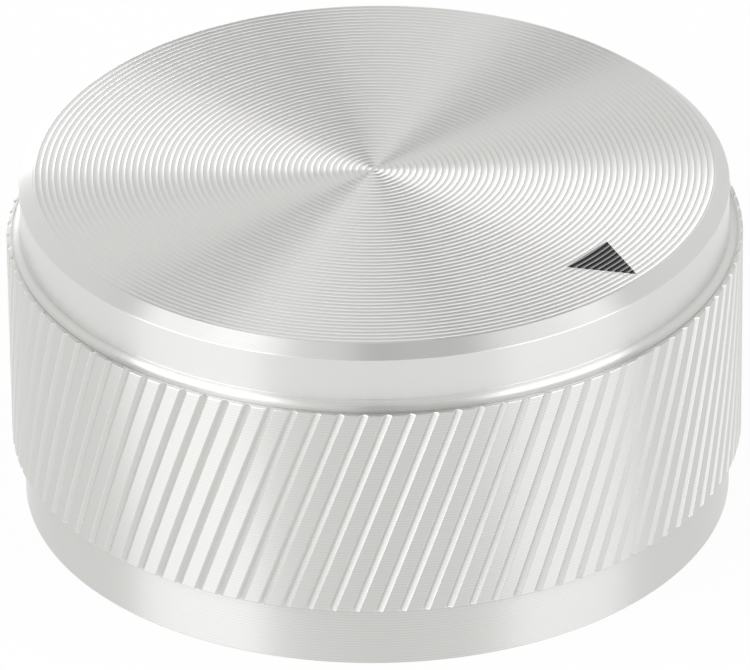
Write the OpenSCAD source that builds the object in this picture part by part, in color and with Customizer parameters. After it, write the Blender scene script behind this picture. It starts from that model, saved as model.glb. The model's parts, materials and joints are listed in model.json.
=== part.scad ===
// Rotary control knob, turned from solid aluminium. It stands on its panel side, with the
// shaft axis along Z and the pointer towards +X. Sizes are in millimetres.

/* [Knob] */
// Height from the panel side to the spun face
knob_h = 19.4; // [18:0.1:30]

/* [Base ring] */
// Diameter of the plain ring at the panel side
base_d = 38.7; // [34:0.1:39.4]
// Height of the plain ring, up to the grip band
base_h = 3.6; // [2:0.1:4]
// Edge break at the foot of the plain ring
base_edge = 0.05; // [0.05:0.05:0.6]

/* [Grip band] */
// Diameter over the knurled band
grip_d = 40; // [39.8:0.1:50]
// Height of the knurled band, up to the shoulder
band_h = 12.2; // [8:0.1:13]
// Edge break at both ends of the band
band_edge = 0.1; // [0.05:0.01:0.2]
// Number of spiral grooves round the band
groove_count = 100; // [48:1:120]
// Width of a groove at the surface of the band
groove_w = 0.48; // [0.3:0.02:0.6]
// Width of the floor of a groove
groove_floor_w = 0.06; // [0.04:0.02:0.28]
// How far the floor of a groove lies to the left of its middle
groove_lean = 0.03; // [0:0.01:0.06]
// Depth of a groove
groove_depth = 0.16; // [0.1:0.01:0.26]
// Angle of the grooves from the shaft axis
helix_angle = 19.8; // [0:0.2:30]

/* [Rim] */
// Diameter of the plain rim above the shoulder
rim_d = 38.5; // [37.2:0.1:38.9]
// Radius of the hollow that leads from the rim into the shoulder
cove_r = 0.4; // [0.1:0.05:0.45]
// Height of the chamfer between the rim and the face
chamfer_h = 0.65; // [0.3:0.05:1.5]

/* [Spun face] */
// Diameter of the face inside the chamfer
face_d = 36.8; // [30:0.1:38]
// Spacing of the turned rings
ring_pitch = 0.35; // [0.3:0.01:0.8]
// Depth of the turned rings
ring_depth = 0.04; // [0.02:0.01:0.12]
// Where a ring's valley lies, as a share of the spacing outwards from its inner crest
ring_valley = 0.3; // [0.2:0.05:0.8]

/* [Shaft fitting] */
// Diameter of the control shaft
shaft_d = 6; // [4:0.1:8]
// Gap between the shaft and its bore, all round
shaft_clearance = 0.05; // [0.01:0.01:0.2]
// Diameter of the recess that clears the shaft's nut and washer
recess_d = 18; // [14:0.5:28]
// Depth of that recess
recess_depth = 5; // [4.5:0.1:6]
// Depth of the shaft bore above the recess
bore_depth = 10.5; // [8:0.1:12]
// Lead-in chamfer at the mouth of the bore
bore_lead_in = 0.4; // [0.1:0.1:1]

/* [Set screw] */
// Thread diameter of the set screw
screw_d = 3; // [2.5:0.5:4]
// Length of the set screw
screw_len = 6; // [4:0.5:12]
// Height of the set screw above the panel side
screw_z = 9.6; // [8.5:0.1:12]
// Gap between the screw and its tapped hole, all round
screw_clearance = 0.05; // [0.01:0.01:0.1]
// How far the screw is backed off from the bore
screw_backed_off = 0.15; // [0.05:0.05:0.6]
// Chamfer at both ends of the screw
screw_chamfer = 0.3; // [0.1:0.05:0.5]
// Width of the screw's hexagon socket across its flats
hex_w = 1.5; // [1.2:0.1:1.6]
// Depth of the hexagon socket
hex_depth = 1.6; // [0.8:0.1:2.5]

/* [Pointer] */
// Length of the printed triangle, along the radius
pointer_len = 3.35; // [1.5:0.05:12]
// Width of the triangle's inner side
pointer_w = 3.4; // [1:0.05:6]
// Distance from the triangle's tip to the edge of the face
pointer_inset = 0.35; // [0.2:0.05:4]
// Thickness of the ink
ink_t = 0.02; // [0.01:0.005:0.05]

/* [Hidden] */
$fn = 180;

base_r = base_d / 2;
grip_r = grip_d / 2;
rim_r = rim_d / 2;
face_r = face_d / 2;
bore_r = shaft_d / 2 + shaft_clearance;
recess_r = recess_d / 2;
shoulder_z = base_h + band_h;
bore_top_z = recess_depth + bore_depth;
past = 1; // how far a cutter runs past the face that it opens

// The grooves climb to the right, as on a right-hand screw, a few degrees at each slice
band_twist = band_h * tan(helix_angle) / grip_r * 180 / PI;
slice_twist = 2.2;
band_slices = max(1, ceil(band_twist / slice_twist));

// The rings fill the face from its centre, and what is left over is a narrow flat border
ring_count = floor((face_r - ring_pitch / 4) / ring_pitch);
tip_x = face_r - pointer_inset;
root_x = tip_x - pointer_len;

// Corners of the face's section: a valley on the axis, then crests and valleys by turns
function is_crest(i) = i % 2 == 1;
function corner_r(i) = i == 0 ? 0 : ring_pitch * (is_crest(i) ? i / 2 : (i - 1) / 2 + ring_valley);
function corner_z(i) = knob_h - (is_crest(i) ? 0 : ring_depth);

// The face's section from one corner to another, raised by lift
function ring_line(first, last, lift = 0) =
    [for (i = [first : last]) [corner_r(i), corner_z(i) + lift]];

function reversed(list) = [for (i = [len(list) - 1 : -1 : 0]) list[i]];

function on_circle(r, angle) = [r * cos(angle), r * sin(angle)];

// Half-angle that a width takes up on a circle of radius r
function half_angle(width, r) = asin(width / 2 / r);

// Half-section of the base ring
base_section = [
    [0, 0],
    [base_r - base_edge, 0],
    [base_r, base_edge],
    [base_r, base_h],
    [0, base_h],
];

// Quarter-circle of the hollow at the rim's foot, which stops short of the grooves' ends
cove = min(cove_r, grip_r - max(groove_depth, band_edge) - rim_r);
cove_steps = 6;
cove_line = [
    for (i = [0 : cove_steps])
        [rim_r + cove, shoulder_z + cove] + on_circle(cove, 270 - 90 * i / cove_steps)
];

// Half-section above the shoulder: hollow, rim, chamfer and ringed face
head_section = concat(
    [[0, shoulder_z]],
    cove_line,
    [[rim_r, knob_h - chamfer_h], [face_r, knob_h]],
    reversed(ring_line(0, 2 * ring_count - 1))
);

// Half-section that breaks the edges at the two ends of the band
band_section = [
    [0, base_h],
    [grip_r - band_edge, base_h],
    [grip_r + past, base_h + band_edge + past],
    [grip_r + past, shoulder_z - band_edge - past],
    [grip_r - band_edge, shoulder_z],
    [0, shoulder_z],
];

// One groove after another round the band, each a pair of edges and a pair of floor corners
band_outline = [
    for (i = [0 : groove_count - 1])
        let (
            floor_r = grip_r - groove_depth,
            mid = i * 360 / groove_count,
            edge = half_angle(groove_w, grip_r),
            floor_mid = mid - asin(groove_lean / floor_r),
            corner = half_angle(groove_floor_w, floor_r)
        )
        each [
            on_circle(grip_r, mid - edge),
            on_circle(floor_r, floor_mid - corner),
            on_circle(floor_r, floor_mid + corner),
            on_circle(grip_r, mid + edge),
        ]
];

module grip_band() {
    intersection() {
        translate([0, 0, base_h])
            linear_extrude(height = band_h, twist = -band_twist, slices = band_slices)
                polygon(band_outline);
        rotate_extrude()
            polygon(band_section);
    }
}

// Nut recess, then the blind bore with its lead-in
module shaft_cavity() {
    translate([0, 0, -past])
        cylinder(r = recess_r, h = recess_depth + past);
    cylinder(r = bore_r, h = bore_top_z);
    translate([0, 0, recess_depth])
        cylinder(r1 = bore_r + bore_lead_in, r2 = bore_r, h = bore_lead_in);
}

// Lays a module's +Z along -X at the height of the set screw
module along_screw() {
    translate([0, 0, screw_z])
        rotate([0, -90, 0])
            children();
}

module knob_body() {
    color("silver")
        difference() {
            union() {
                rotate_extrude()
                    polygon(base_section);
                grip_band();
                rotate_extrude()
                    polygon(head_section);
            }
            shaft_cavity();
            along_screw()
                cylinder(d = screw_d + 2 * screw_clearance, h = grip_r + past);
        }
}

module set_screw() {
    screw_r = screw_d / 2;
    color("dimgray")
        along_screw()
            translate([0, 0, bore_r + screw_backed_off])
                difference() {
                    rotate_extrude()
                        polygon([
                            [0, 0],
                            [screw_r - screw_chamfer, 0],
                            [screw_r, screw_chamfer],
                            [screw_r, screw_len - screw_chamfer],
                            [screw_r - screw_chamfer, screw_len],
                            [0, screw_len],
                        ]);
                    translate([0, 0, screw_len - hex_depth])
                        cylinder(d = hex_w / cos(30), h = hex_depth + past, $fn = 6);
                }
}

// Ink laid over the crests and valleys of the rings, cut to a triangle that points outwards
module pointer_mark() {
    first = floor(2 * root_x / ring_pitch) - 1;
    last = 2 * ring_count - 1;
    color("black")
        intersection() {
            rotate_extrude()
                polygon(concat(ring_line(first, last), reversed(ring_line(first, last, ink_t))));
            linear_extrude(height = knob_h + past)
                polygon([[root_x, -pointer_w / 2], [tip_x, 0], [root_x, pointer_w / 2]]);
        }
}

knob_body();
set_screw();
pointer_mark();
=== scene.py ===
import json
import math

import bmesh
import bpy
from mathutils import Matrix, Vector

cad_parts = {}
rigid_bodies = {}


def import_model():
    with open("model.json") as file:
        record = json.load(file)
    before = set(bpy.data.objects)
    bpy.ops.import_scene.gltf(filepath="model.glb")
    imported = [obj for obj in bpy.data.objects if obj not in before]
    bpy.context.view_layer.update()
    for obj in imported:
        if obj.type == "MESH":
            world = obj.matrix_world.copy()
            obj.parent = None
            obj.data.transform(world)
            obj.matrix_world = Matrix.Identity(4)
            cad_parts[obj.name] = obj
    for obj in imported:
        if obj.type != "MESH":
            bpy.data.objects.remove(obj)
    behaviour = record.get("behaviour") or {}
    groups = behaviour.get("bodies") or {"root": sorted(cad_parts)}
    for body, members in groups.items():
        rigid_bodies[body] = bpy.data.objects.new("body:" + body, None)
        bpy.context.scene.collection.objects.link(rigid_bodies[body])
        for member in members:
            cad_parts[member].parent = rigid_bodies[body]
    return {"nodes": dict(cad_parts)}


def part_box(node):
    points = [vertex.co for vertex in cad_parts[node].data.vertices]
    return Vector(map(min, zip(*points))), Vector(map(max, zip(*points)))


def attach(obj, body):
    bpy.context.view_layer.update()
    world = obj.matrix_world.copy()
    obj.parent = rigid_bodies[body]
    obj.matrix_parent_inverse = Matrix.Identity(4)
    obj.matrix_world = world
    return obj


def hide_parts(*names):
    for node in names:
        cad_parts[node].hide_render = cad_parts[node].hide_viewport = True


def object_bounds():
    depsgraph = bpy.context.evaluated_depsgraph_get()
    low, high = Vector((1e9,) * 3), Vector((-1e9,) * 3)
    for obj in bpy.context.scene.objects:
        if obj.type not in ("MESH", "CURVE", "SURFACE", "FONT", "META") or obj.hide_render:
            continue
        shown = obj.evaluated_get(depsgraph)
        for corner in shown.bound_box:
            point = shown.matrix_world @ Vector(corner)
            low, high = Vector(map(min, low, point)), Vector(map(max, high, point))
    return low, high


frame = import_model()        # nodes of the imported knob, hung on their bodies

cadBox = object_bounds()     # box of the solids, whose middle the lamps and strips are aimed at
mm = 0.001               # the scene is in metres, the sizes below in millimetres
print("frame loaded:", ", ".join(frame["nodes"]))


# colours and nodes

def linear(hexColour):
    def channel(text):
        value = int(text, 16) / 255
        return value / 12.92 if value <= 0.04045 else ((value + 0.055) / 1.055) ** 2.4
    return tuple(channel(hexColour[i:i + 2]) for i in (1, 3, 5)) + (1.0,)


def addNode(tree, kind, settings=None, inputs=None):
    node = tree.nodes.new(kind)
    for name, value in (settings or {}).items():
        setattr(node, name, value)
    for name, value in (inputs or {}).items():
        if isinstance(value, bpy.types.NodeSocket):
            tree.links.new(value, node.inputs[name])
        else:
            node.inputs[name].default_value = value
    return node


def newMaterial(name):
    material = bpy.data.materials.new(name)
    material.use_nodes = True
    material.node_tree.nodes.clear()
    return material, material.node_tree


# turned aluminium, clear anodised: a pale, almost neutral grey, its gloss drawn out across the tool's fine
# lines, whose valleys are painted darker as painted shade; smoother on the rim, which is painted pale all
# over as painted light, with calmer lines there and on the chamfer, and with an even gloss in the grooves,
# which weren't turned

turnedAluminium = {
    # deep is painted shade, laid in the valleys of the tool's fine lines, and pale is on their crests
    "pale": "#dededc", "deep": "#d0d0cd",
    "roughness": 0.34, "roughnessSpread": 0.05,
    "anisotropy": 0.95,
    "glossTurn": 0.25,           # a quarter turn, which lays the gloss across the lines
    "lineSpacing": 0.165,        # mm between the tool's lines
    "lineDepth": 0.003,          # mm
    "lineWander": 2.5,
    "lineFade": 0.7,             # mm over which the lines come and go
    # the rim's colour is painted light: the rim is painted pale all over, brighter than the base, where the
    # real difference comes from the base reflecting the shaded floor near it
    "rim": "#dededc", "rimRoughness": 0.28,
    "headLines": 0.35,           # strength of the lines on the rim and the chamfer
    "grooveRoughness": 0.5,
    "grooveSkin": 0.02,          # mm below the lands, where a groove's own gloss begins
}


def makeTurnedAluminium(look, size):
    material, tree = newMaterial("turnedAnodisedAluminium")
    place = addNode(tree, "ShaderNodeTexCoord").outputs["Object"]
    axes = addNode(tree, "ShaderNodeSeparateXYZ", inputs={0: place})
    height = axes.outputs["Z"]
    flat = addNode(tree, "ShaderNodeCombineXYZ",
                   inputs={"X": axes.outputs["X"], "Y": axes.outputs["Y"]})
    radius = addNode(tree, "ShaderNodeVectorMath", {"operation": "LENGTH"},
                     {0: flat.outputs[0]}).outputs["Value"]
    # one length that grows along every turned surface, so that the lines run round the axis
    along = addNode(tree, "ShaderNodeMath", {"operation": "SUBTRACT"},
                    {0: radius, 1: height}).outputs[0]
    alongX = addNode(tree, "ShaderNodeCombineXYZ", inputs={"X": along})
    waveLength = math.pi / 10        # of the wave node, at a scale of 1
    lines = addNode(tree, "ShaderNodeTexWave", inputs={
        "Vector": alongX.outputs[0], "Scale": waveLength / (look["lineSpacing"] * mm),
        "Distortion": look["lineWander"], "Detail": 2.0})
    # the lines come and go, and the spun face has its rings instead
    strength = addNode(tree, "ShaderNodeTexNoise", {"noise_dimensions": "1D"},
                       {"W": along, "Scale": 1 / (look["lineFade"] * mm), "Detail": 2.0})
    belowRings = size["knobHeight"] - 1.5 * size["ringDepth"]
    side = addNode(tree, "ShaderNodeMath", {"operation": "LESS_THAN"},
                   {0: height, 1: belowRings * mm})
    shown = addNode(tree, "ShaderNodeMath", {"operation": "MULTIPLY"},
                    {0: strength.outputs["Fac"], 1: side.outputs[0]})
    faded = addNode(tree, "ShaderNodeMix", {"data_type": "FLOAT"},
                    {"Factor": shown.outputs[0], "A": 0.5, "B": lines.outputs["Fac"]}).outputs["Result"]
    # painted shade: the colour is darker in the valleys of the tool's lines, where shade lies
    colour = addNode(tree, "ShaderNodeMix", {"data_type": "RGBA"},
                     {"Factor": faded, "A": linear(look["deep"]), "B": linear(look["pale"])})
    worn = addNode(tree, "ShaderNodeMapRange", inputs={
        "Value": faded, "To Min": look["roughness"] + look["roughnessSpread"],
        "To Max": look["roughness"]})
    # where the band and the rim lie, and within the band its grooves
    bandTop = size["baseHeight"] + size["bandHeight"] - size["bandEdge"]
    rimFoot = bandTop + size["coveRadius"]
    zones = {"band": (size["baseHeight"] + size["bandEdge"], bandTop),
             "rim": (rimFoot, size["knobHeight"] - size["chamferHeight"])}
    inside = {}
    for zone, (low, high) in zones.items():
        within = addNode(tree, "ShaderNodeMath", {"operation": "COMPARE"},
                         {0: height, 1: (low + high) / 2 * mm, 2: (high - low) / 2 * mm})
        inside[zone] = within.outputs[0]
    below = addNode(tree, "ShaderNodeMath", {"operation": "LESS_THAN"},
                    {0: radius, 1: (size["gripRadius"] - look["grooveSkin"]) * mm})
    inGroove = addNode(tree, "ShaderNodeMath", {"operation": "MULTIPLY"},
                       {0: inside["band"], 1: below.outputs[0]}).outputs[0]
    onHead = addNode(tree, "ShaderNodeMath", {"operation": "GREATER_THAN"},
                     {0: height, 1: rimFoot * mm})
    # painted light: the rim takes the pale colour all over
    colourWithPaintedRimLight = addNode(tree, "ShaderNodeMix", {"data_type": "RGBA"},
                     {"Factor": inside["rim"], "A": colour.outputs["Result"], "B": linear(look["rim"])})
    smoothed = addNode(tree, "ShaderNodeMix", {"data_type": "FLOAT"},
                       {"Factor": inside["rim"], "A": worn.outputs["Result"], "B": look["rimRoughness"]})
    rough = addNode(tree, "ShaderNodeMix", {"data_type": "FLOAT"},
                    {"Factor": inGroove, "A": smoothed.outputs["Result"], "B": look["grooveRoughness"]})
    drawnOut = addNode(tree, "ShaderNodeMix", {"data_type": "FLOAT"},
                       {"Factor": inGroove, "A": look["anisotropy"], "B": 0.0})
    lineStrength = addNode(tree, "ShaderNodeMix", {"data_type": "FLOAT"},
                           {"Factor": onHead.outputs[0], "A": 1.0, "B": look["headLines"]})
    bump = addNode(tree, "ShaderNodeBump", inputs={
        "Height": faded, "Strength": lineStrength.outputs["Result"],
        "Distance": look["lineDepth"] * mm})
    tangent = addNode(tree, "ShaderNodeTangent", {"direction_type": "RADIAL", "axis": "Z"})
    shader = addNode(tree, "ShaderNodeBsdfPrincipled", inputs={
        "Base Color": colourWithPaintedRimLight.outputs["Result"], "Metallic": 1.0, "Roughness": rough.outputs["Result"],
        "Anisotropic": drawnOut.outputs["Result"], "Anisotropic Rotation": look["glossTurn"],
        "Normal": bump.outputs["Normal"], "Tangent": tangent.outputs["Tangent"]})
    addNode(tree, "ShaderNodeOutputMaterial", inputs={"Surface": shader.outputs["BSDF"]})
    return material


# screen-printed ink: black with a satin gloss, so that the rings below it show as grey stripes

printedInk = {
    "ink": "#050505", "thin": "#0e0e0e",
    "roughness": 0.22, "ior": 1.5, "gloss": 0.2,
    "speck": 0.25,               # mm across a thinner place
}


def makePrintedInk(look):
    material, tree = newMaterial("screenPrintedInk")
    place = addNode(tree, "ShaderNodeTexCoord").outputs["Object"]
    speck = addNode(tree, "ShaderNodeTexNoise",
                    inputs={"Vector": place, "Scale": 1 / (look["speck"] * mm), "Detail": 2.0})
    colour = addNode(tree, "ShaderNodeMix", {"data_type": "RGBA"},
                     {"Factor": speck.outputs["Fac"], "A": linear(look["ink"]), "B": linear(look["thin"])})
    shader = addNode(tree, "ShaderNodeBsdfPrincipled", inputs={
        "Base Color": colour.outputs["Result"], "Roughness": look["roughness"], "IOR": look["ior"],
        "Specular IOR Level": look["gloss"]})
    addNode(tree, "ShaderNodeOutputMaterial", inputs={"Surface": shader.outputs["BSDF"]})
    return material


# black oxide steel: dark, oily, a little uneven

blackOxideSteel = {
    "pale": "#3a3a3c", "deep": "#1f1f21",
    "roughness": 0.42,
    "stain": 0.6,                # mm across an uneven place
}


def makeBlackOxideSteel(look):
    material, tree = newMaterial("blackOxideSteel")
    place = addNode(tree, "ShaderNodeTexCoord").outputs["Object"]
    stain = addNode(tree, "ShaderNodeTexNoise",
                    inputs={"Vector": place, "Scale": 1 / (look["stain"] * mm), "Detail": 3.0})
    colour = addNode(tree, "ShaderNodeMix", {"data_type": "RGBA"},
                     {"Factor": stain.outputs["Fac"], "A": linear(look["deep"]), "B": linear(look["pale"])})
    shader = addNode(tree, "ShaderNodeBsdfPrincipled", inputs={
        "Base Color": colour.outputs["Result"], "Metallic": 1.0, "Roughness": look["roughness"]})
    addNode(tree, "ShaderNodeOutputMaterial", inputs={"Surface": shader.outputs["BSDF"]})
    return material


# mesh helpers: loops of points round an axis, sewn one to the next

def filletedPath(corners, steps=4, hold=0.03):
    # corners are (across, up, fillet); each one with a fillet becomes an arc, with a point held
    # close to either end of it so that the faces beside it shade flat
    path = []
    for i, (across, up, fillet) in enumerate(corners):
        corner = Vector((across, up))
        if not fillet:
            path.append(corner)
            continue
        before = (Vector(corners[i - 1][:2]) - corner).normalized()
        after = (Vector(corners[i + 1][:2]) - corner).normalized()
        half = before.angle(after) / 2
        reach = fillet / math.tan(half)
        centre = corner + (before + after).normalized() * fillet / math.sin(half)
        start, end = corner + before * reach - centre, corner + after * reach - centre
        path.append(corner + before * (reach + hold))
        path += [centre + start.slerp(end, k / steps).normalized() * fillet for k in range(steps + 1)]
        path.append(corner + after * (reach + hold))
    return path


def addLoop(mesh, points):
    return [mesh.verts.new(point) for point in points]


def circleLoop(mesh, radius, height, count):
    turns = (2 * math.pi * i / count for i in range(count))
    return addLoop(mesh, [(radius * math.cos(t), radius * math.sin(t), height) for t in turns])


def turnOf(vert):
    return math.atan2(vert.co.y, vert.co.x) % (2 * math.pi)


def sewLoops(mesh, first, second):
    if len(first) == len(second):
        for i in range(len(first)):
            mesh.faces.new((first[i - 1], first[i], second[i], second[i - 1]))
        return
    # different counts: step round both loops, always on the one whose next point comes sooner
    a, b = sorted(first, key=turnOf), sorted(second, key=turnOf)
    i = j = 0
    while i < len(a) or j < len(b):
        nextA = turnOf(a[i + 1]) if i + 1 < len(a) else turnOf(a[(i + 1) % len(a)]) + 2 * math.pi
        nextB = turnOf(b[j + 1]) if j + 1 < len(b) else turnOf(b[(j + 1) % len(b)]) + 2 * math.pi
        if i < len(a) and (j >= len(b) or nextA <= nextB):
            mesh.faces.new((a[i], a[(i + 1) % len(a)], b[j % len(b)]))
            i += 1
        else:
            mesh.faces.new((a[i % len(a)], b[(j + 1) % len(b)], b[j]))
            j += 1


def capLoop(mesh, loop, height):
    centre = mesh.verts.new((0, 0, height))
    for i in range(len(loop)):
        mesh.faces.new((loop[i - 1], loop[i], centre))


def finishPiece(mesh, name, material, sharpAngle=35):
    bmesh.ops.recalc_face_normals(mesh, faces=mesh.faces)
    data = bpy.data.meshes.new(name)
    mesh.to_mesh(data)
    mesh.free()
    data.polygons.foreach_set("use_smooth", [True] * len(data.polygons))
    data.set_sharp_from_angle(angle=math.radians(sharpAngle))
    data.materials.append(material)
    piece = bpy.data.objects.new(name, data)
    bpy.context.scene.collection.objects.link(piece)
    return piece


# the knob, turned from one bar: millimetres, as on the solid

bodyLow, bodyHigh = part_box("knob_body")
knobBody = {
    "gripRadius": (bodyHigh.x - bodyLow.x) / 2 / mm,
    "knobHeight": bodyHigh.z / mm,
    "baseRadius": 19.35, "baseHeight": 3.6, "baseEdge": 0.05,
    "bandHeight": 12.2, "bandEdge": 0.06,
    "edgeSteps": (0.0, 0.1, 0.4, 1.0, 1.3),      # loops at either end of the band, as shares of its edge
    "bandRows": 8,               # rows of faces between the two ends
    "grooveCount": 100, "grooveWidth": 0.48, "grooveDepth": 0.18, "helixAngle": 19.8,
    "grooveLean": 0.03,          # how far a groove's bottom lies to the left of its middle
    "grooveRound": 0.03,
    "rimRadius": 19.25, "coveRadius": 0.4, "chamferHeight": 0.65,
    "rimLine": 0.01,             # depth of a line that the tool scores in the rim, twice as wide
    "rimLineGap": 0.18,          # from that line down to the hollow at the rim's foot
    "shoulderLine": 0.04,        # depth and width of the line at the other end of the hollow
    "shoulderLineGap": 0.03,
    "faceRadius": 18.4, "ringPitch": 0.35, "ringDepth": 0.04,
    "ringValley": 0.3,           # share of a ring's width: the tool's leading flank is the narrow one
    "ringSteps": (0.0, 0.1, 0.3, 0.5, 0.72, 0.92),       # loops across a ring, from its inner crest
    "chamferGap": 0.02,          # from the last ring's valley to the chamfer
    "recessRadius": 9.0, "recessDepth": 5.0,
    "boreRadius": 3.05, "boreDepth": 10.5, "boreLeadIn": 0.4,
    "screwHoleRadius": 1.55, "screwHeight": 9.6, "screwHoleTurns": 48,
    "drillPast": 1.0,            # how far the drill stands out of the band
    "smallEdge": 0.06,           # the tool leaves no edge quite sharp
    "turns": 160,                # points round every plain loop
}


def ringHeight(size, radius):
    # the tool leaves a shallow hollow between two crests
    across = (radius / size["ringPitch"] + 0.5) % 1.0
    valley = size["ringValley"]
    reach = valley if across < valley else 1 - valley
    return size["knobHeight"] - size["ringDepth"] * (1 - ((across - valley) / reach) ** 2)


def ringRadii(size, start, end):
    first = int(start / size["ringPitch"]) - 1
    last = int(end / size["ringPitch"]) + 2
    radii = [(ring - 0.5 + step) * size["ringPitch"]
             for ring in range(first, last) for step in size["ringSteps"]]
    return [radius for radius in radii if start < radius < end]


def groovePitch(size):
    return 2 * math.pi * size["gripRadius"] / size["grooveCount"]


def grooveColumns(size):
    # section of the band over one pitch: distance along the band from the groove's middle, and depth
    pitch = groovePitch(size)
    section = filletedPath([
        (-pitch / 2, 0, 0),
        (-size["grooveWidth"] / 2, 0, size["grooveRound"]),
        (-size["grooveLean"], size["grooveDepth"], size["grooveRound"]),
        (size["grooveWidth"] / 2, 0, size["grooveRound"]),
        (pitch / 2, 0, 0),
    ], steps=3, hold=0.02)
    return section[:-1]


def bandLoop(mesh, size, height):
    pitch, columns = groovePitch(size), grooveColumns(size)
    climb = (height - size["baseHeight"]) * math.tan(math.radians(size["helixAngle"]))
    edge = size["bandEdge"]
    fromEnd = min(height - size["baseHeight"], size["baseHeight"] + size["bandHeight"] - height)
    outer = size["gripRadius"]
    if fromEnd < edge:
        outer -= edge - math.sqrt(edge ** 2 - (edge - fromEnd) ** 2)
    points = []
    for groove in range(size["grooveCount"]):
        for column in columns:
            turn = (groove * pitch + column.x + climb) / size["gripRadius"]
            radius = min(size["gripRadius"] - column.y, outer)
            points.append(Vector((radius * math.cos(turn), radius * math.sin(turn), height)) * mm)
    return addLoop(mesh, points)


def makeKnobBody(size, material):
    mesh = bmesh.new()
    shoulder = size["baseHeight"] + size["bandHeight"]
    edge, rimLine, shoulderLine = size["smallEdge"], size["rimLine"], size["shoulderLine"]
    coveTop = shoulder + size["coveRadius"] + size["rimLineGap"]
    coveEnd = size["rimRadius"] + size["coveRadius"] + size["shoulderLineGap"]
    # the rings run out to the chamfer, which begins just past the last valley
    lastCrest = int(size["faceRadius"] / size["ringPitch"] - 0.5) + 0.5
    faceEnd = (lastCrest + size["ringValley"]) * size["ringPitch"]
    faceLow = size["knobHeight"] - size["ringDepth"]
    ringsEnd = faceEnd + size["chamferGap"] / 2
    face = [Vector((r, ringHeight(size, r))) for r in ringRadii(size, 0.0, ringsEnd)]
    head = filletedPath([
        (faceEnd + size["chamferGap"], faceLow, 0),
        (size["rimRadius"], size["knobHeight"] - size["chamferHeight"], edge),
        (size["rimRadius"], coveTop + rimLine, 0),
        (size["rimRadius"] - rimLine, coveTop, 0),
        (size["rimRadius"], coveTop - rimLine, 0),
        (size["rimRadius"], shoulder, size["coveRadius"]),
        (coveEnd, shoulder, 0),
        (coveEnd, shoulder - shoulderLine, 0),
        (coveEnd + shoulderLine, shoulder - shoulderLine, 0),
        (coveEnd + shoulderLine, shoulder, 0),
    ], steps=7)
    foot = filletedPath([
        (size["baseRadius"] + 2 * edge, size["baseHeight"], 0),      # clear of the next corner's fillet
        (size["baseRadius"], size["baseHeight"], edge),
        (size["baseRadius"], 0, size["baseEdge"]),
        (size["recessRadius"], 0, edge),
        (size["recessRadius"], size["recessDepth"], edge),
        (size["boreRadius"] + size["boreLeadIn"], size["recessDepth"], edge),
        (size["boreRadius"], size["recessDepth"] + size["boreLeadIn"], 0),
        (size["boreRadius"], size["recessDepth"] + size["boreDepth"], 0),
    ])
    edgeSteps = [size["bandEdge"] * step for step in size["edgeSteps"]]
    plainHeight, rows = size["bandHeight"] - 2 * size["bandEdge"], size["bandRows"]
    middleSteps = [size["bandEdge"] + plainHeight * k / rows for k in range(1, rows)]
    climbs = edgeSteps + middleSteps + [size["bandHeight"] - step for step in reversed(edgeSteps)]
    loops = [circleLoop(mesh, p.x * mm, p.y * mm, size["turns"]) for p in face + head]
    loops += [bandLoop(mesh, size, size["baseHeight"] + climb) for climb in reversed(climbs)]
    loops += [circleLoop(mesh, p.x * mm, p.y * mm, size["turns"]) for p in foot]
    for first, second in zip(loops, loops[1:]):
        sewLoops(mesh, first, second)
    capLoop(mesh, loops[0], ringHeight(size, 0.0) * mm)
    capLoop(mesh, loops[-1], foot[-1].y * mm)
    body = finishPiece(mesh, "knobBody", material)
    drillScrewHole(body, size)
    return body


def drillScrewHole(body, size):
    # the tapped hole runs from the band on the -X side into the bore
    drill = bmesh.new()
    reach = size["gripRadius"] + size["drillPast"]
    lay = (Matrix.Translation((-reach / 2 * mm, 0, size["screwHeight"] * mm))
           @ Matrix.Rotation(math.pi / 2, 4, "Y"))
    bmesh.ops.create_cone(drill, cap_ends=True, segments=size["screwHoleTurns"],
                          radius1=size["screwHoleRadius"] * mm, radius2=size["screwHoleRadius"] * mm,
                          depth=reach * mm, matrix=lay)
    data = bpy.data.meshes.new("drill")
    drill.to_mesh(data)
    drill.free()
    tool = bpy.data.objects.new("drill", data)
    bpy.context.scene.collection.objects.link(tool)
    cut = body.modifiers.new("screwHole", "BOOLEAN")
    cut.operation = "DIFFERENCE"
    cut.solver = "EXACT"
    cut.object = tool
    drilled = bpy.data.meshes.new_from_object(body.evaluated_get(bpy.context.evaluated_depsgraph_get()))
    body.modifiers.clear()
    old = body.data
    body.data = drilled
    bpy.data.meshes.remove(old)
    bpy.data.objects.remove(tool)
    bpy.data.meshes.remove(data)
    drilled.name = "knobBody"


aluminium = makeTurnedAluminium(turnedAluminium, knobBody)
knob = makeKnobBody(knobBody, aluminium)
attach(knob, "root")
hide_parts("knob_body")
print("knob body:", sum(len(face.vertices) - 2 for face in knob.data.polygons), "triangles")


# the pointer: ink that follows the rings, cut to a triangle

markLow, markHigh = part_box("pointer_mark")
pointerMark = {
    "root": markLow.x / mm,
    "tip": markHigh.x / mm,
    "width": (markHigh.y - markLow.y) / mm,
    "thickness": 0.02,
    "columns": 40,
    # the sheet of ink is a little larger than the triangle: share of its turn, mm inside, mm at the tip
    "spareTurn": 1.1, "spareRoot": 0.1, "spareTip": 0.2,
}


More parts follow.
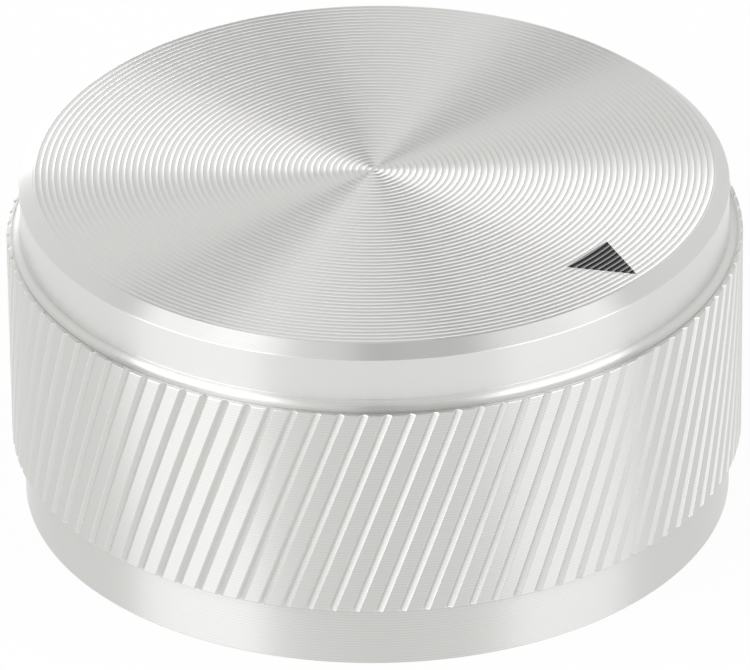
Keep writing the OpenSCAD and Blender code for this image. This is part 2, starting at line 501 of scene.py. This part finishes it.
def makePointerMark(size, body, material):
    mesh = bmesh.new()
    columns = size["columns"]
    spread = math.atan2(size["width"] / 2, size["root"]) * size["spareTurn"]
    turns = [spread * (2 * k / columns - 1) for k in range(columns + 1)]
    inner, outer = size["root"] - size["spareRoot"], math.hypot(size["tip"], size["spareTip"])
    rows = []
    for radius in ringRadii(body, inner, outer):
        height = ringHeight(body, radius) + size["thickness"]
        row = [Vector((radius * math.cos(t), radius * math.sin(t), height)) * mm for t in turns]
        rows.append(addLoop(mesh, row))
    for first, second in zip(rows, rows[1:]):
        for k in range(columns):
            mesh.faces.new((first[k], second[k], second[k + 1], first[k + 1]))
    corners = [Vector((size["root"], -size["width"] / 2)), Vector((size["tip"], 0)),
               Vector((size["root"], size["width"] / 2))]
    for i in range(3):
        side = corners[i] - corners[i - 1]
        outward = Vector((side.y, -side.x, 0))
        bmesh.ops.bisect_plane(mesh, geom=mesh.verts[:] + mesh.edges[:] + mesh.faces[:],
                               plane_co=(corners[i] * mm).to_3d(), plane_no=outward, clear_outer=True)
    # the same sheet again, at the foot of the ink, and the two joined along their edges
    below = bmesh.ops.duplicate(mesh, geom=mesh.faces[:])["geom"]
    lowVerts = [v for v in below if isinstance(v, bmesh.types.BMVert)]
    bmesh.ops.translate(mesh, verts=lowVerts, vec=(0, 0, -size["thickness"] * mm))
    rims = [edge for edge in mesh.edges if edge.is_boundary]
    bmesh.ops.bridge_loops(mesh, edges=rims)
    return finishPiece(mesh, "pointerMark", material)


ink = makePrintedInk(printedInk)
mark = makePointerMark(pointerMark, knobBody, ink)
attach(mark, "root")
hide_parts("pointer_mark")
print("pointer mark:", len(mark.data.polygons), "faces")


# the set screw: cut thread, chamfered ends, hexagon socket

screwLow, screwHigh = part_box("set_screw")
setScrew = {
    "tip": -screwHigh.x / mm,            # distance of the tip from the axis
    "length": (screwHigh.x - screwLow.x) / mm,
    "radius": (screwHigh.z - screwLow.z) / 2 / mm,
    "height": (screwHigh.z + screwLow.z) / 2 / mm,
    "threadPitch": 0.5, "threadDepth": 0.27, "chamfer": 0.3,
    "crestFlat": 1.15,                   # above 1, the thread's crests are cut flat
    "hexWidth": 1.5, "hexDepth": 1.6,
    "hexCone": 0.25,                     # depth of the drill's cone at the socket's floor
    "turns": 36, "rowsPerTurn": 8,
}


def makeSetScrew(size, material):
    mesh = bmesh.new()
    rowCount = int(size["length"] / size["threadPitch"] * size["rowsPerTurn"])
    loops = []
    for row in range(rowCount + 1):
        height = size["length"] * row / rowCount
        fromEnd = min(height, size["length"] - height)
        outer = size["radius"] - max(0.0, size["chamfer"] - fromEnd)
        points = []
        for i in range(size["turns"]):
            share = i / size["turns"]
            # 0 in the valley, 1 on the crest
            wave = abs(2 * ((height / size["threadPitch"] - share) % 1.0) - 1)
            cut = size["threadDepth"] * (1 - min(1.0, wave * size["crestFlat"]))
            radius = min(outer, size["radius"] - cut)
            turn = 2 * math.pi * share
            points.append(Vector((radius * math.cos(turn), radius * math.sin(turn), height)) * mm)
        loops.append(addLoop(mesh, points))
    hexRadius = size["hexWidth"] / math.sqrt(3)
    floorHeight = size["length"] - size["hexDepth"]
    loops.append(circleLoop(mesh, hexRadius * mm, size["length"] * mm, 6))
    loops.append(circleLoop(mesh, hexRadius * mm, floorHeight * mm, 6))
    for first, second in zip(loops, loops[1:]):
        sewLoops(mesh, first, second)
    capLoop(mesh, loops[0], 0.0)
    capLoop(mesh, loops[-1], (floorHeight - size["hexCone"]) * mm)
    lay = (Matrix.Translation((-size["tip"] * mm, 0, size["height"] * mm))
           @ Matrix.Rotation(-math.pi / 2, 4, "Y"))
    bmesh.ops.transform(mesh, matrix=lay, verts=mesh.verts)
    return finishPiece(mesh, "setScrew", material)


steel = makeBlackOxideSteel(blackOxideSteel)
screw = makeSetScrew(setScrew, steel)
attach(screw, "root")
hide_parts("set_screw")
print("set screw:", len(screw.data.polygons), "faces")


# camera: a long lens, from the front left of the pointer

cameraSet = {
    "azimuth": 39.7, "elevation": 30.52, "roll": 0.61,           # degrees
    "distance": 559.4, "aimHeight": 8.975, "aimRight": -0.046,   # mm
    "focalPixels": 10236.5,              # focal length over the width of one pixel
    "frameWidth": 750, "sensorWidth": 36.0,
    "clip": (0.01, 20.0),                # metres
}


def outwards(around, up):
    # degrees round from the camera to the right, and degrees up
    turn, rise = math.radians(cameraSet["azimuth"] + around), math.radians(up)
    return Vector((math.sin(turn) * math.cos(rise), -math.cos(turn) * math.cos(rise), math.sin(rise)))


def makeCamera(look):
    data = bpy.data.cameras.new("camera")
    data.sensor_width = look["sensorWidth"]
    data.lens = look["focalPixels"] * look["sensorWidth"] / look["frameWidth"]
    data.clip_start, data.clip_end = look["clip"]
    turn, rise = math.radians(look["azimuth"]), math.radians(look["elevation"])
    facing = (Matrix.Rotation(turn, 4, "Z") @ Matrix.Rotation(math.pi / 2 - rise, 4, "X")
              @ Matrix.Rotation(-math.radians(look["roll"]), 4, "Z"))
    sideways = Vector((math.cos(turn), math.sin(turn), 0)) * look["aimRight"]
    aim = sideways + Vector((0, 0, look["aimHeight"]))
    back = outwards(0, look["elevation"]) * look["distance"]
    camera = bpy.data.objects.new("camera", data)
    camera.matrix_world = Matrix.Translation((aim + back) * mm) @ facing
    bpy.context.scene.collection.objects.link(camera)
    bpy.context.scene.camera = camera
    print("camera:", round(data.lens), "mm lens,", look["distance"], "mm away")


makeCamera(cameraSet)


# studio: pale floor, white surround, soft lamps, and dark strips that draw out the turned lines

studio = {
    "floorColour": "#e8e8e6", "floorSize": 6.0, "floorGlow": 0.94,
    "floorGap": 0.02,            # mm below the knob, so that the two flat faces don't share a plane
    "surround": 1.0,             # brightness, where 1 is white
    "lampDistance": 0.8,         # metres
    "lampColour": "#fcfcff",
    "lampWatts": 4,              # for a square metre with a brightness of 1
    # degrees round from the camera to the right, degrees up, width and height in degrees, brightness
    "lamps": {
        "left": (-56, 23, 44, 46, 1.95),
        "right": (60, 25, 42, 46, 1.6),
        "back": (193, 10, 27, 20, 2.3),
    },
    # strips of dark paper, bent round the knob behind the lamps: degrees round and up, from and to
    "stripDistance": 1.1, "stripColour": "#484848",
    "stripStep": 5,              # degrees that one face of a strip takes up at most
    "strips": {
        "overhead": ((0, 50.5), (174, 65.5)),
        "rightBack": ((120, 65.5), (164, 76)),
        "leftBack": ((196, 50.5), (280, 65.5)),
        "behind": ((162, 16), (170, 27)),
        "byCamera": ((-8, 36), (8, 66)),
    },
}


def seenAsBackdrop(tree):
    # 1 where the ray comes from the camera, a reflection or through glass
    path = addNode(tree, "ShaderNodeLightPath")
    seen = addNode(tree, "ShaderNodeMath", {"operation": "MAXIMUM"},
                   {0: path.outputs["Is Camera Ray"], 1: path.outputs["Is Glossy Ray"]})
    return addNode(tree, "ShaderNodeMath", {"operation": "MAXIMUM"},
                   {0: seen.outputs[0], 1: path.outputs["Is Transmission Ray"]}).outputs[0]


def makeFloor(look):
    material, tree = newMaterial("paleFloor")
    glow = addNode(tree, "ShaderNodeMath", {"operation": "MULTIPLY"},
                   {0: seenAsBackdrop(tree), 1: look["floorGlow"]})
    matt = addNode(tree, "ShaderNodeBsdfDiffuse", inputs={"Color": linear(look["floorColour"])})
    white = addNode(tree, "ShaderNodeEmission", inputs={"Color": (1, 1, 1, 1), "Strength": 1.0})
    mixed = addNode(tree, "ShaderNodeMixShader",
                    inputs={0: glow.outputs[0], 1: matt.outputs[0], 2: white.outputs[0]})
    addNode(tree, "ShaderNodeOutputMaterial", inputs={"Surface": mixed.outputs[0]})
    mesh = bmesh.new()
    bmesh.ops.create_grid(mesh, x_segments=1, y_segments=1, size=look["floorSize"] / 2)
    floor = finishPiece(mesh, "floor", material)
    floor.location.z = -look["floorGap"] * mm


def makeSurround(look):
    world = bpy.data.worlds.new("surround")
    world.use_nodes = True
    bpy.context.scene.world = world
    tree = world.node_tree
    tree.nodes.clear()
    white = addNode(tree, "ShaderNodeBackground",
                    inputs={"Color": (1, 1, 1, 1), "Strength": look["surround"]})
    addNode(tree, "ShaderNodeOutputWorld", inputs={"Surface": white.outputs[0]})


def spanOf(degrees, distance):
    return 2 * distance * math.tan(math.radians(degrees / 2))


def makeLamp(name, place, look, centre):
    around, up, wide, tall, brightness = place
    distance = look["lampDistance"]
    data = bpy.data.lights.new(name, "AREA")
    data.color = linear(look["lampColour"])[:3]
    data.shape = "RECTANGLE"
    data.size, data.size_y = spanOf(wide, distance), spanOf(tall, distance)
    data.energy = look["lampWatts"] * brightness * data.size * data.size_y
    lamp = bpy.data.objects.new(name, data)
    lamp.location = centre + outwards(around, up) * distance
    lamp.rotation_mode = "QUATERNION"
    lamp.rotation_quaternion = outwards(around, up).to_track_quat("Z", "Y")
    lamp.visible_camera = False
    bpy.context.scene.collection.objects.link(lamp)


def makeDarkPaper(look):
    material, tree = newMaterial("darkPaper")
    matt = addNode(tree, "ShaderNodeBsdfDiffuse", inputs={"Color": linear(look["stripColour"])})
    addNode(tree, "ShaderNodeOutputMaterial", inputs={"Surface": matt.outputs[0]})
    return material


def makeStrip(name, span, look, centre, material):
    (left, low), (right, high) = span
    acrossCount = int((right - left) / look["stripStep"]) + 1
    upCount = int((high - low) / look["stripStep"]) + 1
    turns = [left + (right - left) * k / acrossCount for k in range(acrossCount + 1)]
    mesh = bmesh.new()
    rows = []
    for j in range(upCount + 1):
        up = low + (high - low) * j / upCount
        row = [centre + outwards(turn, up) * look["stripDistance"] for turn in turns]
        rows.append(addLoop(mesh, row))
    for first, second in zip(rows, rows[1:]):
        for k in range(acrossCount):
            mesh.faces.new((first[k], first[k + 1], second[k + 1], second[k]))
    strip = finishPiece(mesh, name, material)
    strip.visible_camera = False


makeFloor(studio)
makeSurround(studio)
knobCentre = (cadBox[0] + cadBox[1]) / 2
for lampName, lampPlace in studio["lamps"].items():
    makeLamp(lampName, lampPlace, studio, knobCentre)
darkPaper = makeDarkPaper(studio)
for stripName, stripSpan in studio["strips"].items():
    makeStrip(stripName, stripSpan, studio, knobCentre, darkPaper)
bpy.context.scene.view_settings.view_transform = "Standard"
print("studio:", len(studio["lamps"]), "lamps and", len(studio["strips"]), "dark strips")
